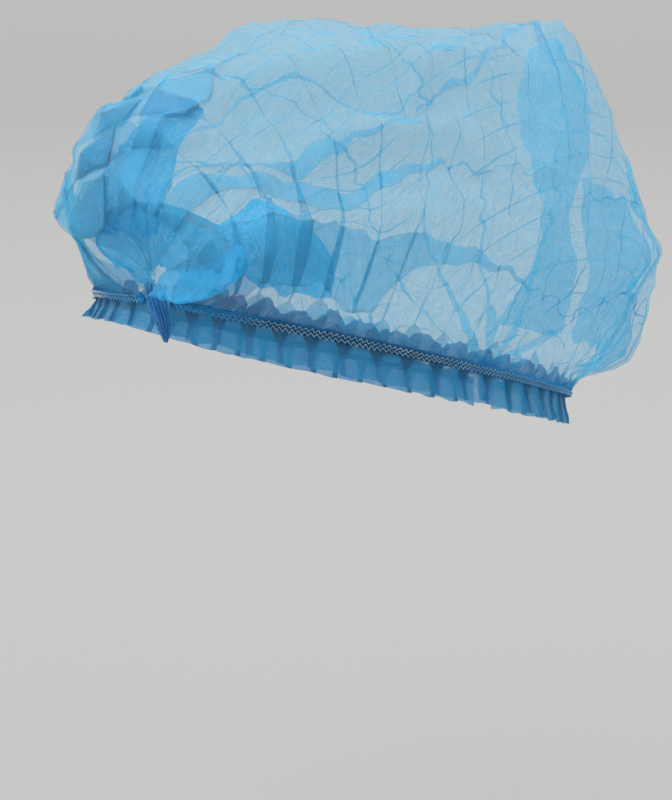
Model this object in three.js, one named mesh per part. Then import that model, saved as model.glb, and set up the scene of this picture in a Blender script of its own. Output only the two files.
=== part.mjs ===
// Disposable strip cap, worn: a pleated strip of thin non-woven cloth, gathered on two elastics
// that meet at sealed ends over the forehead and at the nape, and opened into a balloon.
// Millimetres. +X is the wearer's left, -Y the forehead, +Z up. The origin is the centre of the
// opening, on the plane of its seams.
import * as THREE from 'three';

// Driving dimensions
const OPENING_LENGTH = 190;      // forehead to nape
const OPENING_WIDTH = 154;       // side to side
const BAND_TILT = 19;            // degrees by which the opening rises toward the forehead
const WALL = 1.1;                // cloth wall of the crown and the hems
const GAP = 0.3;                 // clearance between neighbouring pieces
const PLEATS = 25;               // pleats along each side, from tip to tip
const CROWN_TIP = 1.5;           // degrees of the band at each tip where the crown's cloth ends
const HEM_TIP = 3;               // the same for the hems
const ELASTIC_TIP = 5;           // the same for the elastics
const HEM_FIN = 2.2;             // height of a pleat's fin above the flat panels
const ELASTIC_WIDTH = 5.5;
const ELASTIC_THICKNESS = 1;
const ELASTIC_SEAT = 0.3;        // extra lift over the faceted cloth under it
const SCALLOP_HEIGHT = 1.7;      // gathers just above the elastic, to each side of the mean
const SCALLOP_START = 3.4;       // distance above the seam where the gathers begin
const SCALLOP_PEAK = 8;          // distance above the seam where they are highest
const SCALLOP_FADE = 26;         // distance over which they die away up the crown
const CREASE_HEIGHT = 0.5;       // pleat creases left over the whole crown
const SEAM_ROWS = [0, 3.4, 8, 14, 22];   // first rows of the crown, distance above the seam
const ARCH_ROWS = 28;            // further rows, shared evenly from side to side
const SHORT_ARCH = 70;           // arches shorter than this squeeze the seam rows together
const TAB_WIDTH = 13;            // sealed strip ends
const TAB_RISE = 7;              // above the seam
const TAB_DROP = 14;             // below the seam
const TAB_THICKNESS = 2.4;
const TAB_CLEARANCE = 4;         // from the seam's tip to the tab's inner face

// Cross sections of the crown. Each is an arch that springs from the band on both sides at an
// angle round it from the forehead, in degrees, and is given by its crest and its half width.
const SECTIONS = [
  { angle: 0, crestY: -97, crestZ: 38, halfWidth: 2 },
  { angle: 4, crestY: -100, crestZ: 45, halfWidth: 9 },
  { angle: 10, crestY: -104, crestZ: 56, halfWidth: 24 },
  { angle: 25, crestY: -96, crestZ: 80, halfWidth: 42 },
  { angle: 45, crestY: -74, crestZ: 98, halfWidth: 62 },
  { angle: 70, crestY: -35, crestZ: 111, halfWidth: 83 },
  { angle: 95, crestY: 16, crestZ: 113, halfWidth: 89 },
  { angle: 120, crestY: 64, crestZ: 106, halfWidth: 88 },
  { angle: 140, crestY: 94, crestZ: 91, halfWidth: 79 },
  { angle: 158, crestY: 115, crestZ: 56, halfWidth: 68 },
  { angle: 170, crestY: 121, crestZ: 17, halfWidth: 48 },
  { angle: 176, crestY: 114, crestZ: -12, halfWidth: 19 },
  { angle: 180, crestY: 102, crestZ: -32, halfWidth: 2 },
];

// Lobes and dents where the balloon is drawn out or pushed in. across runs from 0 at the
// wearer's left seam over the crest to 1 at the right seam, angle in degrees as above.
const LOBES = [
  { name: 'back corner', angle: 123, across: 0.4, angleSpread: 9, acrossSpread: 0.07, height: 16 },
  { name: 'right front lobe', angle: 47, across: 0.86, angleSpread: 9, acrossSpread: 0.06, height: 8 },
  { name: 'left back lobe', angle: 150, across: 0.1, angleSpread: 10, acrossSpread: 0.07, height: 12 },
  { name: 'left back dent', angle: 112, across: 0.2, angleSpread: 10, acrossSpread: 0.07, height: -5 },
  { name: 'right back lobe', angle: 140, across: 0.86, angleSpread: 12, acrossSpread: 0.07, height: 9 },
  { name: 'right side dent', angle: 98, across: 0.8, angleSpread: 12, acrossSpread: 0.06, height: -6 },
  { name: 'nape dent', angle: 160, across: 0.6, angleSpread: 9, acrossSpread: 0.09, height: -6 },
  { name: 'tip flap', angle: 18, across: 0.17, angleSpread: 12, acrossSpread: 0.06, height: 6 },
  { name: 'tip hollow', angle: 18, across: 0.07, angleSpread: 9, acrossSpread: 0.04, height: -4 },
];

// Long folds that run from the front toward the nape, each a soft ridge between two ends.
const FOLDS = [
  { name: 'brow fold', start: 26, startAcross: 0.32, end: 96, endAcross: 0.26, height: 6 },
  { name: 'side fold', start: 20, startAcross: 0.22, end: 88, endAcross: 0.16, height: 5 },
  { name: 'high fold', start: 38, startAcross: 0.44, end: 118, endAcross: 0.36, height: 5 },
  { name: 'crest fold', start: 30, startAcross: 0.58, end: 150, endAcross: 0.53, height: 5 },
  { name: 'right high fold', start: 24, startAcross: 0.72, end: 126, endAcross: 0.66, height: 5 },
  { name: 'right fold', start: 60, startAcross: 0.84, end: 158, endAcross: 0.78, height: 5 },
  { name: 'ear fold', start: 96, startAcross: 0.1, end: 162, endAcross: 0.24, height: 5 },
];
const FOLD_SPREAD = 0.03;        // half width of a fold, as a share of the arch

const BLUE = 0x5fa9d6;
const DEEP_BLUE = 0x2c78b4;
const ELASTIC_GREY = 0x35566e;

const HALF_LENGTH = OPENING_LENGTH / 2;
const HALF_WIDTH = OPENING_WIDTH / 2;
const SLOPE = Math.tan(THREE.MathUtils.degToRad(BAND_TILT));

// Band angle at a share of the way from the forehead to the nape, short of both tips.
function bandAngle(share, tip) {
  return THREE.MathUtils.degToRad(tip + (180 - 2 * tip) * share);
}

// One column of SECTIONS as a smooth curve through its rows, read at a band angle in degrees.
function sectionValue(degrees, column) {
  const last = SECTIONS.length - 1;
  let i = 0;
  while (i < last - 1 && degrees > SECTIONS[i + 1].angle) i += 1;
  const slopeAt = (k) => {
    const before = SECTIONS[Math.max(k - 1, 0)];
    const here = SECTIONS[k];
    const after = SECTIONS[Math.min(k + 1, last)];
    const left = here.angle - before.angle;
    const right = after.angle - here.angle;
    const rise = (a, b, step) => (step > 0 ? (b[column] - a[column]) / step : 0);
    if (left === 0) return rise(here, after, right);
    if (right === 0) return rise(before, here, left);
    return (rise(before, here, left) * right + rise(here, after, right) * left) / (left + right);
  };
  const step = SECTIONS[i + 1].angle - SECTIONS[i].angle;
  const t = (degrees - SECTIONS[i].angle) / step;
  const t2 = t * t;
  const t3 = t2 * t;
  return (2 * t3 - 3 * t2 + 1) * SECTIONS[i][column] + (t3 - 2 * t2 + t) * step * slopeAt(i)
    + (3 * t2 - 2 * t3) * SECTIONS[i + 1][column] + (t3 - t2) * step * slopeAt(i + 1);
}

// The smooth balloon, before folds: an arch in the plane of its two band points and its crest.
function balloon(angle, across) {
  const degrees = THREE.MathUtils.radToDeg(angle);
  const bandX = HALF_WIDTH * Math.sin(angle);
  const bandY = -HALF_LENGTH * Math.cos(angle);
  const bandZ = -SLOPE * bandY;
  const half = Math.max(sectionValue(degrees, 'halfWidth'), bandX + 0.5);
  const spring = Math.acos(bandX / half);
  const turn = -spring + across * (Math.PI + 2 * spring);
  const rise = (Math.sin(turn) + Math.sin(spring)) / (1 + Math.sin(spring));
  return new THREE.Vector3(
    half * Math.cos(turn),
    bandY + (sectionValue(degrees, 'crestY') - bandY) * rise,
    bandZ + (sectionValue(degrees, 'crestZ') - bandZ) * rise,
  );
}

function balloonNormal(angle, across) {
  const step = 1e-3;
  const a0 = Math.max(angle - step, 0);
  const a1 = Math.min(angle + step, Math.PI);
  const s0 = Math.max(across - step, 0);
  const s1 = Math.min(across + step, 1);
  const alongBand = balloon(a1, across).sub(balloon(a0, across));
  const overCap = balloon(angle, s1).sub(balloon(angle, s0));
  return alongBand.cross(overCap).normalize();
}

// Length of the arch over the cap at one band angle.
function archLength(angle) {
  const steps = 48;
  let length = 0;
  let before = balloon(angle, 0);
  for (let i = 1; i <= steps; i += 1) {
    const here = balloon(angle, i / steps);
    length += here.distanceTo(before);
    before = here;
  }
  return length;
}

const bell = (x, spread) => Math.exp(-(x * x) / (spread * spread));
const peak = (x, spread) => Math.exp(-(Math.abs(x / spread) ** 1.3));

function lobeHeight(degrees, across) {
  return LOBES.reduce((sum, lobe) => {
    const along = peak(degrees - lobe.angle, lobe.angleSpread);
    return sum + lobe.height * along * peak(across - lobe.across, lobe.acrossSpread);
  }, 0);
}

function foldHeight(degrees, across) {
  return FOLDS.reduce((sum, fold) => {
    const along = (degrees - fold.start) / (fold.end - fold.start);
    if (along <= 0 || along >= 1) return sum;
    const centre = fold.startAcross + (fold.endAcross - fold.startAcross) * along;
    return sum + fold.height * Math.sin(Math.PI * along) * bell(across - centre, FOLD_SPREAD);
  }, 0);
}

// Gathers above the seam: 1 on a pleat's ridge, -1 in its valley, scaled by the way up the crown.
function gatherHeight(ridge, fromSeam) {
  const rise = THREE.MathUtils.smoothstep(fromSeam, SCALLOP_START, SCALLOP_PEAK);
  const fade = bell(Math.max(fromSeam - SCALLOP_PEAK, 0), SCALLOP_FADE);
  return ridge * rise * (CREASE_HEIGHT + (SCALLOP_HEIGHT - CREASE_HEIGHT) * fade);
}

// A closed shell between an outer and an inner grid of points, with its four rims.
function shellBetween(outer, inner) {
  const rows = outer.length;
  const columns = outer[0].length;
  const points = [...outer.flat(), ...inner.flat()];
  const innerStart = rows * columns;
  const index = [];
  const quad = (a, b, c, d) => index.push(a, b, c, a, c, d);
  const at = (row, column) => row * columns + column;
  for (let i = 0; i < rows - 1; i += 1) {
    for (let j = 0; j < columns - 1; j += 1) {
      const corner = [at(i, j), at(i + 1, j), at(i + 1, j + 1), at(i, j + 1)];
      quad(...corner);
      quad(...corner.map((k) => k + innerStart).reverse());
    }
  }
  const rim = (a, b) => quad(a, b, b + innerStart, a + innerStart);
  for (let j = 0; j < columns - 1; j += 1) {
    rim(at(0, j), at(0, j + 1));
    rim(at(rows - 1, j + 1), at(rows - 1, j));
  }
  for (let i = 0; i < rows - 1; i += 1) {
    rim(at(i + 1, 0), at(i, 0));
    rim(at(i, columns - 1), at(i + 1, columns - 1));
  }
  const geometry = new THREE.BufferGeometry();
  const numbers = points.flatMap((point) => point.toArray());
  geometry.setAttribute('position', new THREE.Float32BufferAttribute(numbers, 3));
  geometry.setIndex(index);
  geometry.computeVertexNormals();
  return geometry;
}

// Distances above the seam of the crown's rows on one arch, from the left seam to the right one.
function crownRows(length) {
  const squeeze = Math.min(1, length / 2 / SHORT_ARCH);
  const rise = SEAM_ROWS.map((height) => GAP / 2 + height * squeeze);
  const start = rise[rise.length - 1];
  const arch = [];
  for (let i = 1; i < ARCH_ROWS; i += 1) arch.push(start + ((length - 2 * start) * i) / ARCH_ROWS);
  return [...rise, ...arch, ...rise.map((height) => length - height).reverse()];
}

function crownGeometry() {
  const outer = [];
  const inner = [];
  for (let i = 0; i <= 2 * PLEATS; i += 1) {
    const angle = bandAngle(i / (2 * PLEATS), CROWN_TIP);
    const ridge = i % 2 ? 1 : -1;
    const degrees = THREE.MathUtils.radToDeg(angle);
    const length = archLength(angle);
    const squeeze = Math.min(1, length / 2 / SHORT_ARCH);
    const outerRow = [];
    const innerRow = [];
    for (const distance of crownRows(length)) {
      const across = distance / length;
      const fromSeam = Math.min(distance, length - distance);
      const shape = lobeHeight(degrees, across) + foldHeight(degrees, across);
      const height = gatherHeight(ridge, fromSeam) * squeeze
        + shape * THREE.MathUtils.smoothstep(fromSeam, SCALLOP_START, SCALLOP_FADE);
      const point = balloon(angle, across);
      const normal = balloonNormal(angle, across);
      outerRow.push(point.clone().addScaledVector(normal, height));
      innerRow.push(point.clone().addScaledVector(normal, height - WALL));
    }
    outer.push(outerRow);
    inner.push(innerRow);
  }
  return shellBetween(outer, inner);
}

// Point of the seam on one side, and its outward direction level with the opening.
function seamPoint(angle, side) {
  const y = -HALF_LENGTH * Math.cos(angle);
  return new THREE.Vector3(side * HALF_WIDTH * Math.sin(angle), y, -SLOPE * y);
}

function seamOutward(angle, side) {
  const sideways = side * Math.sin(angle) / HALF_WIDTH;
  return new THREE.Vector3(sideways, -Math.cos(angle) / HALF_LENGTH, 0).normalize();
}

// Profile of one pleat of the hem: a flat panel, then a fin folded up beside it.
const PLEAT_PROFILE = [
  { at: 0, out: 0 },
  { at: 0.5, out: 0.15 },
  { at: 0.66, out: 1 },
  { at: 0.86, out: 0.85 },
];
const HEM_ROWS = [
  { down: 0, fin: 0 },
  { down: 0.3, fin: 0.15 },
  { down: 1, fin: 1 },
];

// The hem's depth and outward lean round each side. It curls up and out beside the right temple.
const HEM_SECTIONS = {
  left: [
    { angle: 0, depth: 10, flare: 1.5 },
    { angle: 20, depth: 12, flare: 0.6 },
    { angle: 90, depth: 12.5, flare: 0.4 },
    { angle: 180, depth: 12, flare: 0.6 },
  ],
  right: [
    { angle: 0, depth: 10, flare: 1.5 },
    { angle: 25, depth: 9.5, flare: 2.5 },
    { angle: 60, depth: 8, flare: 6 },
    { angle: 100, depth: 11.5, flare: 2 },
    { angle: 180, depth: 12, flare: 0.6 },
  ],
};

function hemValue(side, degrees, column) {
  const rows = HEM_SECTIONS[side > 0 ? 'left' : 'right'];
  const next = Math.max(rows.findIndex((row) => row.angle >= degrees), 1);
  const share = (degrees - rows[next - 1].angle) / (rows[next].angle - rows[next - 1].angle);
  return THREE.MathUtils.lerp(rows[next - 1][column], rows[next][column], share);
}

function hemGeometry(side) {
  const stations = [];
  for (let i = 0; i < PLEATS; i += 1) {
    for (const knot of PLEAT_PROFILE) stations.push({ turn: (i + knot.at) / PLEATS, out: knot.out });
  }
  stations.push({ turn: 1, out: 0 });
  if (side < 0) stations.reverse();
  const outer = [];
  const inner = [];
  for (const station of stations) {
    const angle = bandAngle(station.turn, HEM_TIP);
    const degrees = THREE.MathUtils.radToDeg(angle);
    const depth = hemValue(side, degrees, 'depth');
    const flare = hemValue(side, degrees, 'flare');
    const outward = seamOutward(angle, side);
    const outerRow = [];
    const innerRow = [];
    for (const row of HEM_ROWS) {
      const drop = GAP / 2 + row.down * (depth - GAP / 2);
      const out = flare * row.down + HEM_FIN * station.out * row.fin;
      const point = seamPoint(angle, side).addScaledVector(outward, out);
      point.z -= drop;
      outerRow.push(point);
      innerRow.push(point.clone().addScaledVector(outward, -WALL));
    }
    outer.push(outerRow);
    inner.push(innerRow);
  }
  return shellBetween(inner, outer);
}

// The elastic follows the cloth just above and below the seam, clear of it by the gap. Its faces
// lie along the crown's normal above the seam and level with the opening below it.
function elasticGeometry(side) {
  const outer = [];
  const inner = [];
  const rows = [-ELASTIC_WIDTH / 2, 0, ELASTIC_WIDTH / 2];
  const count = 2 * PLEATS;
  for (let i = 0; i <= count; i += 1) {
    const step = side > 0 ? i : count - i;
    const angle = bandAngle(step / count, ELASTIC_TIP);
    const degrees = THREE.MathUtils.radToDeg(angle);
    const length = archLength(angle);
    const outward = seamOutward(angle, side);
    const outerRow = [];
    const innerRow = [];
    for (const up of rows) {
      const rise = Math.max(up, 0) / length;
      const across = side > 0 ? rise : 1 - rise;
      const point = balloon(angle, across);
      point.z += Math.min(up, 0);
      const above = balloonNormal(angle, across);
      const mitre = above.clone().add(outward).divideScalar(1 + above.dot(outward));
      const lean = { '-1': outward, 0: mitre, 1: above }[Math.sign(up)];
      const depth = hemValue(side, degrees, 'depth');
      const lift = GAP + ELASTIC_SEAT + hemValue(side, degrees, 'flare') * Math.max(-up, 0) / depth;
      innerRow.push(point.clone().addScaledVector(lean, lift));
      outerRow.push(point.clone().addScaledVector(lean, lift + ELASTIC_THICKNESS));
    }
    outer.push(outerRow);
    inner.push(innerRow);
  }
  return shellBetween(outer, inner);
}

// The strip's sealed end: the last pleats pressed into a small pointed tab. It covers the crown's
// gathered end at a tip and hangs below the opening, drawn over to one side.
function tabGeometry(direction) {
  const half = TAB_WIDTH / 2;
  const outline = new THREE.Shape([
    new THREE.Vector2(-half, TAB_RISE),
    new THREE.Vector2(-half, 0),
    new THREE.Vector2(-half * 0.1, -TAB_DROP * 0.75),
    new THREE.Vector2(half * 0.6, -TAB_DROP),
    new THREE.Vector2(half, -TAB_DROP * 0.75),
    new THREE.Vector2(half, TAB_RISE),
  ]);
  const geometry = new THREE.ExtrudeGeometry(outline, { depth: TAB_THICKNESS, bevelEnabled: false });
  geometry.rotateX(Math.PI / 2);
  if (direction > 0) geometry.rotateZ(Math.PI);
  return geometry;
}

function cloth(colour) {
  return new THREE.MeshStandardMaterial({ color: colour, roughness: 0.75, metalness: 0 });
}

function piece(name, geometry, material) {
  const mesh = new THREE.Mesh(geometry, material);
  mesh.name = name;
  return mesh;
}

const cap = new THREE.Group();
cap.add(piece('crown', crownGeometry(), cloth(BLUE)));
for (const [name, side] of [['left', 1], ['right', -1]]) {
  cap.add(piece(`hem_${name}`, hemGeometry(side), cloth(BLUE)));
  cap.add(piece(`elastic_${name}`, elasticGeometry(side), cloth(ELASTIC_GREY)));
}
for (const [name, direction] of [['front', -1], ['back', 1]]) {
  const tab = piece(`tab_${name}`, tabGeometry(direction), cloth(DEEP_BLUE));
  const reach = HALF_LENGTH + TAB_CLEARANCE;
  tab.position.set(0, direction * reach, -direction * SLOPE * HALF_LENGTH);
  cap.add(tab);
}

export default cap;
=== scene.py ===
# %% [markdown]
# # A disposable strip cap
#
# The cap is one strip of thin non-woven cloth. It leaves the factory folded like a fan, with an
# elastic sewn along each long side, and opens into a balloon of crumpled cloth. This
# lesson builds it on the frame of its working solids, which hold its size and its place.

# %% Load the frame
import math
from collections import namedtuple

import bmesh
import bpy
import numpy as np
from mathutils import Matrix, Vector, noise


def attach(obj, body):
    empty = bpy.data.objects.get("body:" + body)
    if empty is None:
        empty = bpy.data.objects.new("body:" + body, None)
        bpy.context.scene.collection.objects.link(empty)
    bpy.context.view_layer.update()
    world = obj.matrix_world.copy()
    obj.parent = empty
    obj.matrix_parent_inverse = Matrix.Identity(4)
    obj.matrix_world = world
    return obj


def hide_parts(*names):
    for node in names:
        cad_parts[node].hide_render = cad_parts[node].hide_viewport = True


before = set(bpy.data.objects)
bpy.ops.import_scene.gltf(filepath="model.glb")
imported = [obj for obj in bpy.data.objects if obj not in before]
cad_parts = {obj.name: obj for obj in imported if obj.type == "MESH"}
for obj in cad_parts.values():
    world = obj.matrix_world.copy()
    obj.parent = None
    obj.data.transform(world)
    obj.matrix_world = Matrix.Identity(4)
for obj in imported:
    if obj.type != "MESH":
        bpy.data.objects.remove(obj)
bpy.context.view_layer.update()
print("nodes in the frame:", sorted(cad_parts))


def add_object(name, data):
    """An object with this mesh, curve, camera or light, linked to the scene."""
    added = bpy.data.objects.new(name, data)
    bpy.context.scene.collection.objects.link(added)
    return added


# %% [markdown]
# The balloon is described the way a hat maker would measure it: by cross sections. Each is an arch
# that springs from the opening on both sides of it, at an angle round it from the front tip,
# and it is given by its crest and its half width. These are the sections that the solids have, so
# the cloth fits them. Sizes are in millimetres until a mesh is written.

# %% Sizes of the cap
MM = 0.001
HALF_LENGTH = 95.0        # opening, front to back, halved
HALF_WIDTH = 77.0         # opening, side to side, halved
SLOPE = math.tan(math.radians(19.0))   # rise of the opening toward the front
PLEATS = 25               # pleats along each side
CROWN_TIP = 1.5           # degrees of the opening that the crown's cloth leaves free at each tip
HEM_TIP = 3.0
ELASTIC_TIP = 5.0
LEAST_BULGE = 0.5         # the balloon is at least this much wider than the opening, on each side

Section = namedtuple("Section", "angle crest_y crest_z half_width")
SECTIONS = [
    Section(0, -97, 38, 2),
    Section(4, -100, 45, 9),
    Section(10, -104, 56, 24),
    Section(25, -96, 80, 42),
    Section(45, -74, 98, 62),
    Section(70, -35, 111, 83),
    Section(95, 16, 113, 89),
    Section(120, 64, 106, 88),
    Section(140, 94, 91, 79),
    Section(158, 115, 56, 68),
    Section(170, 121, 17, 48),
    Section(176, 114, -12, 19),
    Section(180, 102, -32, 2),
]
print(len(SECTIONS), "sections from the front tip to the back tip")


# %% Read smooth curves through a list of sections
def smooth_curve(x, xs, ys):
    """A curve through the points xs, ys whose slope never jumps, read at x."""
    steps = np.diff(xs)
    rises = np.diff(ys) / steps
    slopes = np.empty(len(xs))
    slopes[0], slopes[-1] = rises[0], rises[-1]
    slopes[1:-1] = (rises[:-1] * steps[1:] + rises[1:] * steps[:-1]) / (steps[:-1] + steps[1:])
    i = np.clip(np.searchsorted(xs, x) - 1, 0, len(xs) - 2)
    t = (x - xs[i]) / steps[i]
    before = (2 * t**3 - 3 * t**2 + 1) * ys[i] + (t**3 - 2 * t**2 + t) * steps[i] * slopes[i]
    after = (3 * t**2 - 2 * t**3) * ys[i + 1] + (t**3 - t**2) * steps[i] * slopes[i + 1]
    return before + after


def read_curves(x, rows):
    """The later fields of a list of named tuples, each read at x of their first field."""
    xs, *columns = np.array(rows, float).T
    return [smooth_curve(x, xs, ys) for ys in columns]


def balloon(angle, across):
    """Points of the smooth balloon. angle is in degrees from the front tip to the back tip, and
    across runs from 0 at the left seam over the crest to 1 at the right seam."""
    turn = np.radians(angle)
    band_x = HALF_WIDTH * np.sin(turn)
    band_y = -HALF_LENGTH * np.cos(turn)
    band_z = -SLOPE * band_y
    crest_y, crest_z, half_width = read_curves(angle, SECTIONS)
    half = np.maximum(half_width, band_x + LEAST_BULGE)
    spring = np.arccos(np.clip(band_x / half, 0, 1))
    arch = -spring + across * (math.pi + 2 * spring)
    rise = (np.sin(arch) + np.sin(spring)) / (1 + np.sin(spring))
    return np.stack([
        half * np.cos(arch),
        band_y + (crest_y - band_y) * rise,
        band_z + (crest_z - band_z) * rise,
    ], axis=-1)


def unit(vectors):
    return vectors / (np.linalg.norm(vectors, axis=-1, keepdims=True) + 1e-12)


def balloon_normal(angle, across):
    """Outward normals of the balloon, by small steps along it and over it."""
    step_angle, step_across = 0.1, 1e-3
    a0, a1 = np.clip(angle - step_angle, 0, 180), np.clip(angle + step_angle, 0, 180)
    s0, s1 = np.clip(across - step_across, 0, 1), np.clip(across + step_across, 0, 1)
    along = balloon(a1, across) - balloon(a0, across)
    over = balloon(angle, s1) - balloon(angle, s0)
    return unit(np.cross(along, over))


print("crest of the balloon:", balloon(np.array(90.0), np.array(0.5)).round(1), "mm")

# %% [markdown]
# Air and folding leave lobes where the cloth is drawn out, dents where it is pushed in, and long
# soft ridges that run from front to back. A bell or a pointed peak on each place is enough.

# %% Lobes and soft ridges
Lobe = namedtuple("Lobe", "name angle across angle_spread across_spread height")
LOBES = [
    Lobe("back corner", 123, 0.4, 9, 0.07, 16),
    Lobe("right front lobe", 47, 0.86, 9, 0.06, 8),
    Lobe("left back lobe", 150, 0.1, 10, 0.07, 12),
    Lobe("left back dent", 112, 0.2, 10, 0.07, -5),
    Lobe("right back lobe", 140, 0.86, 12, 0.07, 9),
    Lobe("right side dent", 98, 0.8, 12, 0.06, -6),
    Lobe("low back dent", 160, 0.6, 9, 0.09, -6),
    Lobe("tip flap", 18, 0.17, 12, 0.06, 6),
    Lobe("tip hollow", 18, 0.07, 9, 0.04, -4),
]
LOBE_POWER = 1.3          # 2 would be a round bell, 1 a pointed peak
Ridge = namedtuple("Ridge", "name start start_across end end_across height")
RIDGES = [
    Ridge("front low fold", 26, 0.32, 96, 0.26, 6),
    Ridge("side fold", 20, 0.22, 88, 0.16, 5),
    Ridge("high fold", 38, 0.44, 118, 0.36, 5),
    Ridge("crest fold", 30, 0.58, 150, 0.53, 5),
    Ridge("right high fold", 24, 0.72, 126, 0.66, 5),
    Ridge("right fold", 60, 0.84, 158, 0.78, 5),
    Ridge("back low fold", 96, 0.1, 162, 0.24, 5),
]
RIDGE_SPREAD = 0.03


def soft_relief(angle, across):
    """Height in millimetres of the lobes, dents and soft ridges."""
    height = np.zeros_like(angle)
    for lobe in LOBES:
        along = np.exp(-np.abs((angle - lobe.angle) / lobe.angle_spread) ** LOBE_POWER)
        over = np.exp(-np.abs((across - lobe.across) / lobe.across_spread) ** LOBE_POWER)
        height += lobe.height * along * over
    for ridge in RIDGES:
        share = np.clip((angle - ridge.start) / (ridge.end - ridge.start), 0, 1)
        centre = ridge.start_across + (ridge.end_across - ridge.start_across) * share
        over = np.exp(-((across - centre) / RIDGE_SPREAD) ** 2)
        height += ridge.height * np.sin(math.pi * share) * over
    return height


print(len(LOBES), "lobes and dents,", len(RIDGES), "soft ridges")

# %% [markdown]
# The strip was folded like a fan before it was opened, so it keeps two sets of folds. Long folds
# run from tip to tip: near the tips they stay shut, in the middle they open to thin creases, with
# wider overlaps here and there. Short folds cross them, one for each pleat of the seam, wide at the
# stitches and thin above. Each fold is a letter Z seen from its end: the cloth goes forward, back
# and forward again. The profile below gives that Z as steps along the surface and above it.

# %% Profile of one fold
Knot = namedtuple("Knot", "along lift")
LONG_FOLD = [
    Knot(-0.5, 0.0), Knot(0.0, 0.02), Knot(0.44, 0.06), Knot(0.5, 0.24), Knot(0.4, 0.42),
    Knot(-0.4, 0.56), Knot(-0.5, 0.78), Knot(-0.42, 0.98), Knot(0.0, 1.0), Knot(0.5, 0.92),
]
SHORT_FOLD = [
    Knot(-0.5, 0.0), Knot(0.46, 0.1), Knot(0.5, 0.38), Knot(-0.46, 0.6), Knot(-0.5, 0.9),
    Knot(0.5, 0.85),
]
PANEL_COLUMNS = 7         # columns of cloth between two short folds
PANEL_ROWS = 11           # rows of cloth between two long folds
SEAM_ROWS = 18            # rows between each seam and the nearest long fold

# %% [markdown]
# A long fold wanders, so it is given by stations: where it is at an angle, and how far its layers
# overlap there in millimetres. Between the stations it is a smooth curve.

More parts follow.
